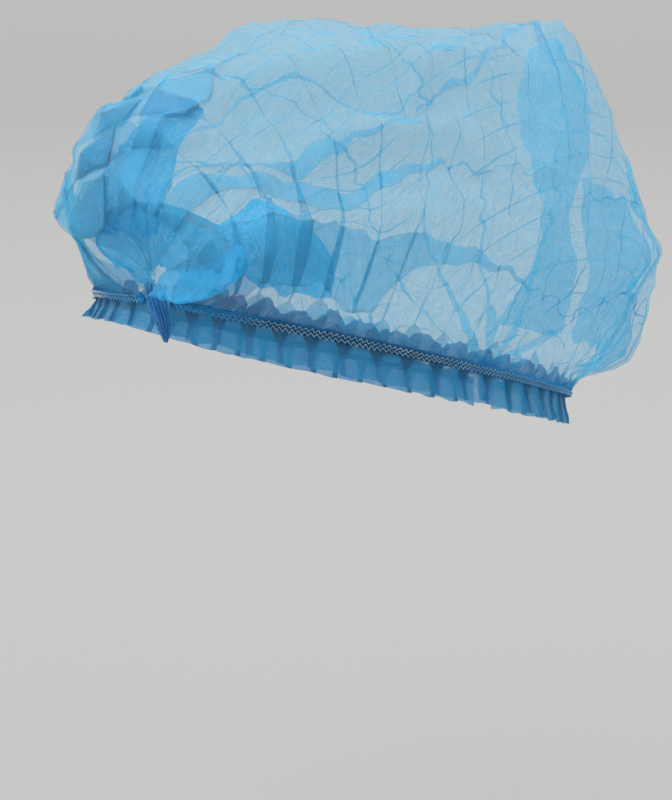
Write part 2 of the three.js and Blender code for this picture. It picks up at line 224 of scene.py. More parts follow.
# %% Long folds from the left seam over the crest to the right seam
Station = namedtuple("Station", "angle across overlap")
LONG_FOLDS = {
    "ragged fold": [
        Station(0, 0.15, 5), Station(8, 0.19, 21), Station(13, 0.2, 36), Station(17, 0.185, 38),
        Station(22, 0.165, 37), Station(27, 0.17, 44), Station(30, 0.15, 40), Station(35, 0.14, 37),
        Station(41, 0.12, 34), Station(44, 0.105, 27), Station(50, 0.105, 24),
        Station(54, 0.12, 17), Station(60, 0.132, 10), Station(67, 0.132, 6), Station(75, 0.122, 3),
        Station(87, 0.1, 1), Station(100, 0.09, 0.6), Station(120, 0.12, 1.5),
        Station(150, 0.14, 1), Station(166, 0.14, 1.2), Station(174, 0.14, 2.5),
        Station(178, 0.14, 6), Station(180, 0.14, 3),
    ],
    "main fold": [
        Station(0, 0.32, 5), Station(8, 0.39, 10), Station(14, 0.4, 8), Station(20, 0.37, 6),
        Station(26, 0.335, 5), Station(30, 0.3, 5), Station(34.5, 0.262, 5), Station(40, 0.23, 7),
        Station(44.5, 0.226, 7), Station(51, 0.23, 5), Station(58.5, 0.237, 4.2),
        Station(66, 0.245, 3), Station(71, 0.246, 1.6), Station(79, 0.245, 0.9),
        Station(88.5, 0.24, 0.7), Station(105, 0.215, 0.6), Station(120, 0.22, 1.5),
        Station(150, 0.26, 1), Station(166, 0.29, 1.4), Station(174, 0.31, 2.5),
        Station(178, 0.32, 6), Station(180, 0.32, 3),
    ],
    "high fold": [
        Station(0, 0.42, 4), Station(8, 0.45, 9), Station(14, 0.45, 5), Station(22, 0.42, 1.5),
        Station(30, 0.36, 1.2), Station(36, 0.31, 2), Station(39, 0.288, 4),
        Station(44.5, 0.295, 8.5), Station(50, 0.292, 3.5), Station(54, 0.288, 2.2),
        Station(59.5, 0.3, 2.2), Station(64.5, 0.3, 2), Station(70.5, 0.315, 2.2),
        Station(74.5, 0.335, 1.8), Station(82.5, 0.34, 2.4), Station(89.5, 0.355, 3),
        Station(105, 0.393, 3.2), Station(118, 0.425, 2.5), Station(135, 0.42, 1.5),
        Station(155, 0.43, 1), Station(166, 0.45, 1.3), Station(174, 0.46, 2.5),
        Station(178, 0.47, 5), Station(180, 0.47, 3),
    ],
    "thin fold": [
        Station(0, 0.46, 3), Station(8, 0.49, 5), Station(14, 0.475, 2), Station(30, 0.45, 1),
        Station(46, 0.42, 1), Station(53, 0.413, 1.3), Station(58, 0.39, 1.6),
        Station(61, 0.35, 1.6), Station(66, 0.338, 1.5), Station(72, 0.345, 0.8),
        Station(80, 0.37, 0.5), Station(90, 0.4, 0.5), Station(105, 0.44, 0.6),
        Station(118, 0.475, 0.6), Station(135, 0.49, 0.8), Station(155, 0.51, 0.9),
        Station(166, 0.55, 1.2), Station(174, 0.56, 2), Station(178, 0.57, 4),
        Station(180, 0.57, 3),
    ],
    "crest fold": [
        Station(0, 0.56, 4), Station(8, 0.54, 9), Station(14, 0.528, 12), Station(20, 0.525, 15),
        Station(30, 0.525, 19), Station(40, 0.525, 22), Station(46, 0.52, 18), Station(54, 0.52, 7),
        Station(64, 0.525, 2), Station(75, 0.535, 0.8), Station(95, 0.55, 0.8),
        Station(118, 0.57, 1), Station(140, 0.58, 1.5), Station(155, 0.6, 1),
        Station(166, 0.63, 1.3), Station(174, 0.655, 2.5), Station(178, 0.67, 5),
        Station(180, 0.67, 3),
    ],
    "right high fold": [
        Station(0, 0.68, 5), Station(8, 0.663, 13), Station(14, 0.663, 16), Station(24, 0.66, 15),
        Station(34, 0.655, 14), Station(42, 0.65, 14), Station(50, 0.65, 9), Station(58, 0.66, 4),
        Station(66, 0.665, 1.2), Station(80, 0.67, 0.6), Station(100, 0.69, 1),
        Station(118, 0.7, 0.6), Station(140, 0.71, 2), Station(155, 0.72, 1.1),
        Station(166, 0.73, 1.4), Station(174, 0.76, 2.5), Station(178, 0.77, 5),
        Station(180, 0.77, 3),
    ],
    "right main fold": [
        Station(0, 0.86, 5), Station(8, 0.86, 18), Station(14, 0.86, 27), Station(24, 0.86, 35),
        Station(34, 0.86, 32), Station(42, 0.85, 16), Station(50, 0.84, 5), Station(60, 0.82, 1),
        Station(80, 0.8, 0.6), Station(95, 0.79, 1.5), Station(118, 0.81, 0.8),
        Station(140, 0.84, 1.5), Station(155, 0.86, 1.2), Station(166, 0.88, 1.5),
        Station(174, 0.89, 2.5), Station(178, 0.9, 5), Station(180, 0.9, 3),
    ],
}
FOLDS = list(LONG_FOLDS.values())
print(len(FOLDS), "long folds and", PLEATS - 1, "short ones")


# %% Soft noise for cloth
SEED_STEP = 7.31          # distance between the slices of noise that two seeds read
NOISE_GAIN = 1.8


def cloth_noise(x, y, seed):
    """Smooth noise between about -1 and 1 on a grid of two coordinates, the same on every run."""
    x, y = np.broadcast_arrays(x, y)
    flat = [noise.noise(Vector((a, b, seed * SEED_STEP))) for a, b in zip(x.ravel(), y.ravel())]
    return np.array(flat).reshape(x.shape) * NOISE_GAIN


def smooth_step(x, low, high):
    t = np.clip((x - low) / (high - low), 0, 1)
    return t * t * (3 - 2 * t)


# %% [markdown]
# The grid of the crown follows the folds: its rows and columns crowd together where the cloth turns
# back on itself. Each row knows where it lies between two long folds, and each column where it
# lies between two short ones.

# %% Rows over the cap and columns along the seam
GridLine = namedtuple("GridLine", "kind fold value")
END_POWER = 1.5           # how strongly the lines crowd toward the seams and the tips


def grid_lines(count, profile, panel, ends):
    """The lines of one direction of the grid: a knot of a fold, or cloth between two folds."""
    lines = [GridLine("cloth", -1, (j / ends) ** END_POWER) for j in range(ends)]
    for k in range(count):
        lines += [GridLine("knot", k, n) for n in range(len(profile))]
        steps = panel if k < count - 1 else ends
        for j in range(1, steps):
            share = j / steps if k < count - 1 else 1 - (1 - j / steps) ** END_POWER
            lines.append(GridLine("cloth", k, share))
    lines.append(GridLine("cloth", count - 1, 1.0))
    return lines


row_lines = grid_lines(len(FOLDS), LONG_FOLD, PANEL_ROWS, SEAM_ROWS)
column_lines = grid_lines(PLEATS - 1, SHORT_FOLD, PANEL_COLUMNS, PANEL_COLUMNS)
print(len(column_lines), "columns by", len(row_lines), "rows")


def place_lines(lines, profile, centres, overlaps, lifts, low, high):
    """Positions along the surface and lifts above it of all lines, from each fold's centre,
    overlap and lift, all arrays over the other direction of the grid."""
    places, heights = [], []
    last = len(centres) - 1
    for line in lines:
        if line.kind == "knot":
            knot = profile[line.value]
            places.append(centres[line.fold] + overlaps[line.fold] * knot.along)
            heights.append(lifts[line.fold] * knot.lift)
            continue
        start, end = low, high
        if line.fold >= 0:
            start = centres[line.fold] + overlaps[line.fold] / 2
        if line.fold < last:
            end = centres[line.fold + 1] - overlaps[line.fold + 1] / 2
        lift = 0 * start if line.fold < 0 else lifts[line.fold] * profile[-1].lift
        fall = 1 - line.value**2 * (3 - 2 * line.value)
        places.append(start + (end - start) * line.value)
        heights.append(lift * fall)
    return np.stack(places), np.stack(heights)


# %% [markdown]
# The short creases don't run straight over the cap. The cloth has slipped back over the left side,
# so they lean back as they climb and come forward again on the right. Where a long fold meets a
# column is found by halving, because both of them slant.

# %% Lean of the short creases
LEAN = 48.0               # degrees by which a crease has moved back at most
LEAN_PEAK = 0.66          # place over the cap where it has
HALVINGS = 22


def lean_back(angle, across):
    climb = np.where(across < LEAN_PEAK, across / LEAN_PEAK, (1 - across) / (1 - LEAN_PEAK))
    return angle + LEAN * np.sin(np.radians(angle)) * (1 - np.cos(math.pi * climb)) / 2


def meet_long_fold(fold, angle):
    """Places over the cap where the columns that start at these angles meet a long fold."""
    low, high = np.zeros_like(angle), np.ones_like(angle)
    for _ in range(HALVINGS):
        middle = (low + high) / 2
        centre, _overlap = read_curves(lean_back(angle, middle), fold)
        above = middle > centre
        low, high = np.where(above, low, middle), np.where(above, middle, high)
    return (low + high) / 2


leaned_example = round(float(lean_back(60.0, np.float64(0.3))), 1)
print("a crease that starts at 60 degrees is at", leaned_example, "a third of the way over")

# %% [markdown]
# Where short folds lie wide on each other the cloth is several layers thick and looks deep blue:
# at the stitches and in the bunched front. These patches give the share of the cloth that the
# short folds cover there, each with a soft edge.

# %% Bunched patches
Patch = namedtuple("Patch", "name angle across angle_reach across_reach share")
PATCHES = [
    Patch("front left ruffle", 26, 0.16, 20, 0.1, 0.32),
    Patch("front right band", 27, 0.64, 24, 0.1, 0.8),
    Patch("front crest", 34, 0.52, 14, 0.05, 0.5),
    Patch("front right low", 20, 0.93, 18, 0.05, 0.5),
    Patch("front point", 5, 0.5, 8, 0.6, 0.95),
    Patch("back left", 160, 0.1, 10, 0.07, 0.2),
    Patch("back right", 160, 0.9, 10, 0.07, 0.2),
]


def bunched_share(angle, across):
    share = np.zeros_like(angle)
    for patch in PATCHES:
        along = np.exp(-((angle - patch.angle) / patch.angle_reach) ** 4)
        over = np.exp(-((across - patch.across) / patch.across_reach) ** 4)
        share = np.maximum(share, patch.share * along * over)
    return share


# %% [markdown]
# Now the crown's points. First each column's band angle is found with no folds, to measure the
# arch there. Then the long folds place the rows, the short folds shift the columns, and the height
# of everything is laid off along the balloon's normal. At its two ends the strip is pinched shut.

# %% Arches over the cap
ARCH_STEPS = 60


def arch_lengths(angle):
    across = np.linspace(0, 1, ARCH_STEPS)
    a, s = np.meshgrid(angle, across, indexing="ij")
    return np.linalg.norm(np.diff(balloon(a, s), axis=1), axis=-1).sum(axis=1)


ARCH_ANGLES = np.linspace(0, 180, 181)
ARCH_LENGTHS = arch_lengths(ARCH_ANGLES)


def arch_length(angle):
    return np.interp(angle, ARCH_ANGLES, ARCH_LENGTHS)


# %% Rows of the crown, by its long folds
RAGGED = 0.006            # how far a long fold strays from its stations, as a share of the arch
MOST_WANDER = 2.5         # how much an overlap varies, in millimetres and as a share of itself
WANDER_SHARE = 0.35
ROOM = 1.05               # share of the way to the next fold that an overlap may take
FOLD_LIFT = 0.3           # lift of a long fold as a share of its overlap, and at most
MOST_FOLD_LIFT = 2.2


def crown_rows(rest):
    """Place over the cap and lift of each row, for columns that start at these angles."""
    ragged = RAGGED * np.stack([cloth_noise(rest / 3.5, np.full_like(rest, k * 4.9), 8)
                                for k in range(len(FOLDS))])
    near_tip = smooth_step(rest, 4, 14)
    middles = [meet_long_fold(fold, rest) + ragged[k] * near_tip for k, fold in enumerate(FOLDS)]
    edges = [0 * rest] + middles + [0 * rest + 1]
    overlaps, lifts = [], []
    for k, fold in enumerate(FOLDS):
        there = lean_back(rest, middles[k])
        length = arch_length(there)
        room = ROOM * np.minimum(middles[k] - edges[k], edges[k + 2] - middles[k])
        _across, wide = read_curves(there, fold)
        stray = cloth_noise(rest / 9, np.full_like(rest, k * 3.7), 5)
        wander = np.minimum(WANDER_SHARE * wide, MOST_WANDER) * stray
        overlaps.append(np.minimum((wide + wander) / length, room))
        lifts.append(np.minimum(FOLD_LIFT * overlaps[k] * length, MOST_FOLD_LIFT))
    across, lift = place_lines(row_lines, LONG_FOLD, middles, overlaps, lifts,
                               0 * rest, 0 * rest + 1)
    return across.T, lift.T


# %% Columns of the crown, by its short folds
SCALLOP = 9.5             # height above the seam at which the gathers end
SCALLOP_VARIES = 0.22
SEAM_OVERLAP = 8.2        # overlap of a pleat at the stitches
CREASE_OVERLAP = 0.75     # overlap of the crease that is left above
MOST_PITCH = 0.86         # share of the pleats' pitch that an overlap may take
PLEAT_LIFT = 0.2          # lift of a short fold as a share of its overlap, and at most
MOST_PLEAT_LIFT = 1.3


def crown_overlaps(rest, across, from_seam):
    """Overlap of the short folds in millimetres, and the share of the pitch that bunches take."""
    number = np.array([max(line.fold, 0) for line in column_lines])[:, None]
    tall = SCALLOP * (1 + SCALLOP_VARIES * cloth_noise(number * 2.3, 0 * across, 4))
    gather = np.sqrt(np.clip(1 - (from_seam / tall) ** 3, 0, 1))
    vary = cloth_noise(number * 1.7, across * 14, 9)
    crease = CREASE_OVERLAP * np.clip(0.65 + 0.9 * vary, 0.15, 1.6)
    share = bunched_share(lean_back(rest[:, None] + 0 * across, across), across)
    uneven = 0.5 * (1.1 - np.minimum(share, 1)) * cloth_noise(number * 3.1, across * 9, 6)
    bunch = share * (1 + uneven) * smooth_step(from_seam, 6, 16)
    return np.maximum(SEAM_OVERLAP * gather, crease), bunch


def crown_columns(centres, pitch, across, overlap, bunch):
    """Angle and lift of each column on each row, by the short folds at these centres."""
    rows = across.shape[1]
    degrees, lifts = [], []
    for k, centre in enumerate(centres):
        own = [i for i, line in enumerate(column_lines)
               if line.kind == "knot" and line.fold == k][2]
        a, s = np.full(rows, centre), across[own]
        step = balloon(lean_back(a + 0.5, s), s) - balloon(lean_back(a - 0.5, s), s)
        speed = np.linalg.norm(step, axis=-1)
        narrow = np.minimum(overlap[own] / speed, pitch * MOST_PITCH)
        degrees.append(np.maximum(narrow, pitch * bunch[own]))
        lifts.append(np.minimum(PLEAT_LIFT * degrees[k] * speed, MOST_PLEAT_LIFT))
    spread = [c + np.zeros(rows) for c in centres]
    return place_lines(column_lines, SHORT_FOLD, spread, degrees, lifts,
                       np.full(rows, CROWN_TIP), np.full(rows, 180 - CROWN_TIP))


# %% Points of the crown
SLACK = 3.0               # how far the cloth starts inside the balloon, to swell out later
NARROW_TIP = 0.06         # width that the pinched strip keeps at its tips, as a share
STITCHED = 3.4            # height above the seam to which the cloth is held down


def swell(angle, across):
    """The broad waves that the crown and the layers under it share."""
    return 2.2 * cloth_noise(angle / 30, across * 7, 11) + 1.1 * cloth_noise(angle / 9, across * 24, 12)


def crown_points():
    pitch = (180 - 2 * CROWN_TIP) / PLEATS
    centres = [np.float64(CROWN_TIP + pitch * (k + 1)) for k in range(PLEATS - 1)]
    tiny = [np.float64(0.5)] * len(centres)
    rest, _lift = place_lines(column_lines, SHORT_FOLD, centres, tiny, tiny,
                              np.float64(CROWN_TIP), np.float64(180 - CROWN_TIP))
    across, lift = crown_rows(rest)
    from_seam = np.minimum(across, 1 - across) * arch_length(rest)[:, None]
    overlap, bunch = crown_overlaps(rest, across, from_seam)
    angle, short_lift = crown_columns(centres, pitch, across, overlap, bunch)

    leaned = lean_back(angle, across)
    relief = soft_relief(leaned, across) * smooth_step(from_seam, STITCHED, 26)
    crushed = 1.5 * (0.55 - np.abs(cloth_noise(leaned / 11, across * 20, 13)))
    creased = 0.8 * (0.5 - np.abs(cloth_noise(leaned / 4.5, across * 46, 14)))
    waves = swell(leaned, across) + crushed + creased - SLACK
    height = relief + waves * smooth_step(from_seam, STITCHED, 24) + lift + short_lift
    points = balloon(leaned, across) + balloon_normal(leaned, across) * height[..., None]
    pinch = np.minimum(smooth_step(angle, 0.5, 7), smooth_step(180 - angle, 0.5, 7))
    points[..., 0] *= NARROW_TIP + (1 - NARROW_TIP) * pinch
    return points


crown_grid = crown_points()
lowest, highest = crown_grid.reshape(-1, 3).min(0), crown_grid.reshape(-1, 3).max(0)
print("crown from", lowest.round(1), "to", highest.round(1), "mm")

# %% [markdown]
# A grid operator makes the sheet, and its vertices are then moved to the points. The sheet gets a
# UV map in metres of cloth, measured along the rows and columns, so a printed or bonded pattern
# keeps its true size on it.

# %% Sheets from a grid
def sheet_mesh(name, grid):
    """A cloth sheet through a grid of points in millimetres, columns first, with a UV map."""
    columns, rows = grid.shape[:2]
    shape = bmesh.new()
    bmesh.ops.create_grid(shape, x_segments=columns - 1, y_segments=rows - 1, size=1.0)
    shape.verts.ensure_lookup_table()
    along = np.linalg.norm(np.diff(grid, axis=0), axis=-1)
    over = np.linalg.norm(np.diff(grid, axis=1), axis=-1)
    u = np.vstack([np.zeros((1, rows)), np.cumsum(along, axis=0)])
    v = np.hstack([np.zeros((columns, 1)), np.cumsum(over, axis=1)])
    u = (u - u[columns // 2]) * MM
    v = (v - v[:, rows // 2, None]) * MM
    layer = shape.loops.layers.uv.new("cloth")
    place = {}
    for vert in shape.verts:
        i = round((vert.co.x + 1) / 2 * (columns - 1))
        j = round((vert.co.y + 1) / 2 * (rows - 1))
        place[vert.index] = (u[i, j], v[i, j])
        vert.co = grid[i, j] * MM
    for face in shape.faces:
        face.smooth = True
        for loop in face.loops:
            loop[layer].uv = place[loop.vert.index]
    mesh = bpy.data.meshes.new(name)
    shape.to_mesh(mesh)
    shape.free()
    area = sum(p.area for p in mesh.polygons)
    print(f"{name}: {len(mesh.polygons)} faces, {area * 1e4:.0f} square centimetres")
    return add_object(name, mesh)


crown = sheet_mesh("crown_cloth", crown_grid)

# %% [markdown]
# The folds so far lie as neatly as if they were ironed. Worn cloth has more of itself than the
# smooth shape needs, and gets rid of it in wrinkles. The cloth simulation does the same: every
# spring of the sheet grows by some per cent, the seams are held, and all other points are held by
# weak goals. The moves are evened out twice between neighbours and then kept in the mesh.

# %% Let the cloth crumple
GROWTH = 0.10             # how much longer the threads of the cloth become
HOLD = 0.06               # how strongly a free point is held in its place
HELD_ROWS, HELD_COLUMNS = 5, 3   # lines along each seam and each tip that don't move
CRUMPLE_FRAMES = 11
MOST_MOVE = 6.0           # no point may move further, in millimetres
OWN_SHARE = 0.4           # when moves are evened out, share of a point's own move
BESIDE_SHARE = 0.15       # and of the move of each of its four neighbours


def crumple(piece, columns, rows):
    mesh = piece.data
    before = np.empty(len(mesh.vertices) * 3)
    mesh.vertices.foreach_get("co", before)
    before = before.reshape(-1, 3)
    number = np.arange(len(before))
    column, row = number % columns, number // columns
    from_side = np.minimum(row, rows - 1 - row)
    from_end = np.minimum(column, columns - 1 - column)
    fixed = (from_side < HELD_ROWS) | (from_end < HELD_COLUMNS)
    hold = piece.vertex_groups.new(name="hold")
    hold.add(number[fixed].tolist(), 1.0, "REPLACE")
    hold.add(number[~fixed].tolist(), HOLD, "REPLACE")
    cloth = piece.modifiers.new("crumple", "CLOTH")
    cloth.settings.quality = 4
    cloth.settings.mass = 0.3
    cloth.settings.tension_stiffness = cloth.settings.compression_stiffness = 15
    cloth.settings.shear_stiffness = 5
    cloth.settings.bending_model = "ANGULAR"
    cloth.settings.bending_stiffness = 0.05
    cloth.settings.vertex_group_mass = "hold"
    cloth.settings.pin_stiffness = 0.5
    cloth.settings.shrink_min = -GROWTH
    cloth.settings.effector_weights.gravity = 0
    cloth.collision_settings.use_collision = False
    cloth.point_cache.frame_start, cloth.point_cache.frame_end = 1, CRUMPLE_FRAMES
    for frame_number in range(1, CRUMPLE_FRAMES + 1):
        bpy.context.scene.frame_set(frame_number)
    shaped = piece.evaluated_get(bpy.context.evaluated_depsgraph_get())
    after = np.empty(len(before) * 3)
    shaped.data.vertices.foreach_get("co", after)
    move = after.reshape(-1, 3) - before
    net = move.reshape(rows, columns, 3)
    for _ in range(2):
        inner = net[1:-1, 1:-1] * OWN_SHARE
        for beside in (net[:-2, 1:-1], net[2:, 1:-1], net[1:-1, :-2], net[1:-1, 2:]):
            inner = inner + beside * BESIDE_SHARE
        net[1:-1, 1:-1] = inner
    far = np.linalg.norm(move, axis=1, keepdims=True)
    move *= MOST_MOVE * MM * np.tanh(far / (MOST_MOVE * MM)) / np.maximum(far, 1e-9)
    piece.modifiers.remove(cloth)
    piece.vertex_groups.remove(hold)
    mesh.vertices.foreach_set("co", (before + move).ravel())
    mesh.update()
    bpy.context.scene.frame_set(1)
    moved = np.linalg.norm(move, axis=1) / MM
    print("crumpled by", round(float(moved.mean()), 2), "mm on average,", round(float(moved.max()), 2),
          "mm at most")


crumple(crown, len(column_lines), len(row_lines))

# %% [markdown]
# Below the stitches the strip ends in a narrow hem. The pleats that lie flat under the needle fan
# out there, so between two flat panels a small fin stands up, higher toward the cut edge. The hem
# is one more pleated sheet on the same column lines, hung from the seam.

# %% Places along a seam
SIDES = {"left": 0, "right": 1}   # across value of each seam, also added to a seed of noise


def seam_place(angle, height, out, side):
    """A point by a seam: height is up over the cloth or down below the stitches, out is the
    distance from the cloth, all in millimetres."""
    angle, height, out = np.broadcast_arrays(angle, height, out)
    turn = np.radians(angle)
    mirror = 1 if side == "left" else -1
    outward = unit(np.stack([
        mirror * HALF_LENGTH * np.sin(turn), -HALF_WIDTH * np.cos(turn), 0 * turn], axis=-1))
    across = np.abs(SIDES[side] - np.maximum(height, 0) / arch_length(angle))
    base = balloon(angle, across)
    base[..., 2] += np.minimum(height, 0)
    share = smooth_step(height, -1.5, 1.5)[..., None]
    way = unit(balloon_normal(angle, across) * share + outward * (1 - share))
    return base + way * out[..., None]


def side_sheets(prefix, make_grid, turned_side):
    """One sheet by each seam. Its rows are turned round on one side, so it faces outward too."""
    sheets = {}
    for side in SIDES:
        grid = make_grid(side)
        grid = grid[:, ::-1] if side == turned_side else grid
        sheets[side] = sheet_mesh(f"{prefix}_{side}", grid)
    return sheets


# %% The hems
HemSection = namedtuple("HemSection", "angle depth flare")
HEM_SECTIONS = {
    "left": [HemSection(0, 10, 1.5), HemSection(20, 12, 0.6), HemSection(90, 12.5, 0.4),
             HemSection(180, 12, 0.6)],
    "right": [HemSection(0, 10, 1.5), HemSection(25, 9.5, 2.5), HemSection(60, 8, 6),
              HemSection(100, 11.5, 2), HemSection(180, 12, 0.6)],
}
HEM_ROWS = 12
HEM_OVERLAP = 7.0         # overlap of a pleat under the needle
FIN_OVERLAP = 1.9         # what is left of it at the cut edge
FIN_HEIGHT = 2.3
FIN_START = 0.9           # height of a fin at the stitches


def hem_grid(side):
    down = np.linspace(0, 1, HEM_ROWS)
    pitch = (180 - 2 * HEM_TIP) / PLEATS
    seed = 21 + SIDES[side]
    closed = 1 - smooth_step(down, 0.0, 0.62)
    centres, degrees, lifts = [], [], []
    for k in range(PLEATS - 1):
        angle = HEM_TIP + pitch * (k + 1)
        turn = math.radians(angle)
        run = math.hypot(HALF_WIDTH * math.cos(turn), HALF_LENGTH * math.sin(turn))
        speed = run * math.pi / 180
        slant = 1.2 * noise.noise(Vector((k * 1.9, 0.5, seed)))
        centres.append(angle + slant * down)
        wide = FIN_OVERLAP + (HEM_OVERLAP - FIN_OVERLAP) * closed
        degrees.append(np.minimum(wide / speed, MOST_PITCH * pitch))
        tall = 1 + 0.7 * noise.noise(Vector((k * 2.7, 3.5, seed)))
        rise = (FIN_HEIGHT * tall - FIN_START) * smooth_step(down, 0.15, 1.0)
        lifts.append(FIN_START + rise)
    angle, lift = place_lines(column_lines, SHORT_FOLD, centres, degrees, lifts,
                              HEM_TIP + 0 * down, 180 - HEM_TIP + 0 * down)
    depth, flare = read_curves(angle, HEM_SECTIONS[side])
    depth = depth * (1 + 0.05 * cloth_noise(angle / 5, 0 * angle, seed + 4))
    wave = 0.7 * cloth_noise(angle / 6, down * 1.5 + 0 * angle, seed + 8)
    wave = wave * smooth_step(down, 0.1, 0.8)
    out = 0.1 + flare * down + lift + wave - 0.6 * np.sin(math.pi * down)
    return seam_place(angle, -depth * down, out, side)


hems = side_sheets("hem_cloth", hem_grid, "left")

# %% [markdown]
# On the inside the edge of the strip is turned up over the elastic. Through the crown it shows as a
# row of dark scallops, one for each pleat: here the most layers lie on each other, and its cloth is
# painted darker than the strip as painted shade of the gathers. Under the hanging lip it is raised
# higher, as painted shade of the hollow.

# %% The turned-up edges
TURN_LOW = -2.6           # bottom of the turned-up edge from the stitches
TURN_DIP = 3.4            # its top between two pleats
TURN_PEAK = 7.2           # its top in the middle of a pleat
TURN_BULGE = 1.3          # how far it bulges from the cloth halfway up
TURN_INSET = 0.4          # how far it lies in at its two borders
# Under the hanging lip the dark turned cloth is raised, as painted shade of the hollow there.
LIP_HOLLOW_SHADE_RISE = 7.0         # how much higher it is under the hanging lip
HOLLOW_ANGLE, HOLLOW_REACH = 11, 7   # degrees
TURN_COLUMNS, TURN_ROWS = 700, 12


def turned_grid(side):
    angle = np.linspace(CROWN_TIP + 2, 178 - CROWN_TIP, TURN_COLUMNS)[:, None]
    share = np.linspace(0, 1, TURN_ROWS)[None, :]
    pitch = (180 - 2 * CROWN_TIP) / PLEATS
    seed = 71 + SIDES[side]
    place = (angle - CROWN_TIP) / pitch + 0.12 * cloth_noise(angle / 9, 0 * angle, seed)
    arch = np.abs(np.sin(math.pi * place)) ** 0.5
    uneven = 1 + 0.45 * cloth_noise(angle / 4, 0 * angle, seed + 2)
    uneven = uneven + 0.15 * cloth_noise(angle, 0 * angle, seed + 4)
    top = TURN_DIP + (TURN_PEAK - TURN_DIP) * arch * uneven
    # Painted shade: the dark turned edge is raised under the hanging lip to darken the hollow.
    if side == "left":
        top = top + LIP_HOLLOW_SHADE_RISE * np.exp(-((angle - HOLLOW_ANGLE) / HOLLOW_REACH) ** 2)
    height = TURN_LOW + (top - TURN_LOW) * share
    ripple = 0.5 * cloth_noise(angle / 1.5, height / 3, seed + 3)
    wave = 0.5 * np.cos(2 * math.pi * place) + ripple
    return seam_place(angle, height, TURN_BULGE * np.sin(math.pi * share) - TURN_INSET + wave, side)


turned_edges = side_sheets("turned_edge", turned_grid, "right")

# %% [markdown]
# The elastic is a narrow tape sewn on through all pleats. Shrunk back from the sewing, its cover of
# cloth is drawn into small ribs. A sheet follows the seam half above and half below the stitches,
# and a Solidify modifier gives it its thickness.

# %% The elastics
ELASTIC_WIDTH = 4.8
ELASTIC_THICKNESS = 0.9
ELASTIC_COLUMNS, ELASTIC_ROWS = 620, 9
ELASTIC_OUT = 2.3         # outer face of the tape from the cloth
END_SINK = 1.3            # how much closer it lies at its two ends


def tape_out(angle):
    """Distance of the tape's outer face from the cloth: less toward the two ends."""
    return ELASTIC_OUT - END_SINK * (1 - smooth_step(np.minimum(angle, 180 - angle), 6, 26))


def elastic_grid(side):
    angle = np.linspace(ELASTIC_TIP, 180 - ELASTIC_TIP, ELASTIC_COLUMNS)[:, None]
    height = np.linspace(-0.5, 0.5, ELASTIC_ROWS)[None, :] * ELASTIC_WIDTH
    seed = 31 + SIDES[side]
    rib = 0.14 * np.sin(angle * 2.1 + 3 * cloth_noise(angle / 6, 0 * angle, seed) + 0.25 * height)
    fine = 0.08 * cloth_noise(angle * 1.3, height * 0.35, seed + 2)
    groove = -0.35 * np.exp(-(height / 0.5) ** 2)
    rounded = -0.5 * np.abs(height / ELASTIC_WIDTH * 2) ** 6
    edge = 0.25 * cloth_noise(angle / 2.5, 0 * angle, seed + 5)
    return seam_place(angle, height + edge, tape_out(angle) + rib + fine + groove + rounded, side)


elastics = side_sheets("elastic_tape", elastic_grid, "right")
for tape in elastics.values():
    thick = tape.modifiers.new("thickness", "SOLIDIFY")
    thick.thickness = ELASTIC_THICKNESS * MM
    thick.offset = -1

# %% [markdown]
# Two rows of zigzag stitches hold each elastic. A poly curve runs along the tape from crest to
# crest of the zigzag, a small bevel makes it a thread, and the result is kept as a mesh.

# %% The zigzag stitches
STITCH_PITCH = 1.9
STITCH_SWING = 0.85       # half the height of the zigzag
STITCH_ROWS = {"upper": 1.35, "lower": -1.35}
THREAD_RADIUS = 0.16
THREAD_OUT = 0.5          # middle of the thread from the tape's outer face
SEAM_STEPS = 2001


def stitch_row(name, side, height):
    turns = np.radians(np.linspace(ELASTIC_TIP + 1, 179 - ELASTIC_TIP, SEAM_STEPS))
    run = np.hypot(HALF_WIDTH * np.cos(turns), HALF_LENGTH * np.sin(turns))
    length = np.concatenate([[0], np.cumsum((run[1:] + run[:-1]) / 2 * np.diff(turns))])
    count = int(length[-1] / STITCH_PITCH) * 2
    angle = np.degrees(np.interp(np.linspace(0, length[-1], count), length, turns))
    swing = np.where(np.arange(count) % 2 == 0, 1.0, -1.0) * STITCH_SWING
    seed = 41 + SIDES[side]
    drift = 0.25 * cloth_noise(angle / 5, 0 * angle + height, seed)
    jitter = 0.16 * cloth_noise(np.arange(count) * 0.7, 0 * angle + height, seed + 2)
    up = height + swing + drift + jitter
    points = seam_place(angle, up, tape_out(angle) + THREAD_OUT, side) * MM
    path = bpy.data.curves.new(name, "CURVE")
    path.dimensions = "3D"
    path.bevel_depth = THREAD_RADIUS * MM
    path.bevel_resolution = 0
    path.use_fill_caps = True
    line = path.splines.new("POLY")
    line.points.add(count - 1)
    for point, place in zip(line.points, points):
        point.co = (*place, 1)
    drawn = add_object(name, path)
    bpy.context.view_layer.update()
    graph = bpy.context.evaluated_depsgraph_get()
    mesh = bpy.data.meshes.new_from_object(drawn.evaluated_get(graph))
    bpy.data.objects.remove(drawn)
    print(name, "has", count, "stitches,", len(mesh.polygons), "faces")
    return add_object(name, mesh)


threads = [stitch_row(f"stitches_{side}_{row}", side, height)
           for side in SIDES for row, height in STITCH_ROWS.items()]

# %% [markdown]
# At its two tips the fan of the strip is pinched to a narrow folded end. It is a small
# accordion of the same cloth: close folds side by side, spread a little at the top where they run
# into the crown, and drawn to a point at the bottom.

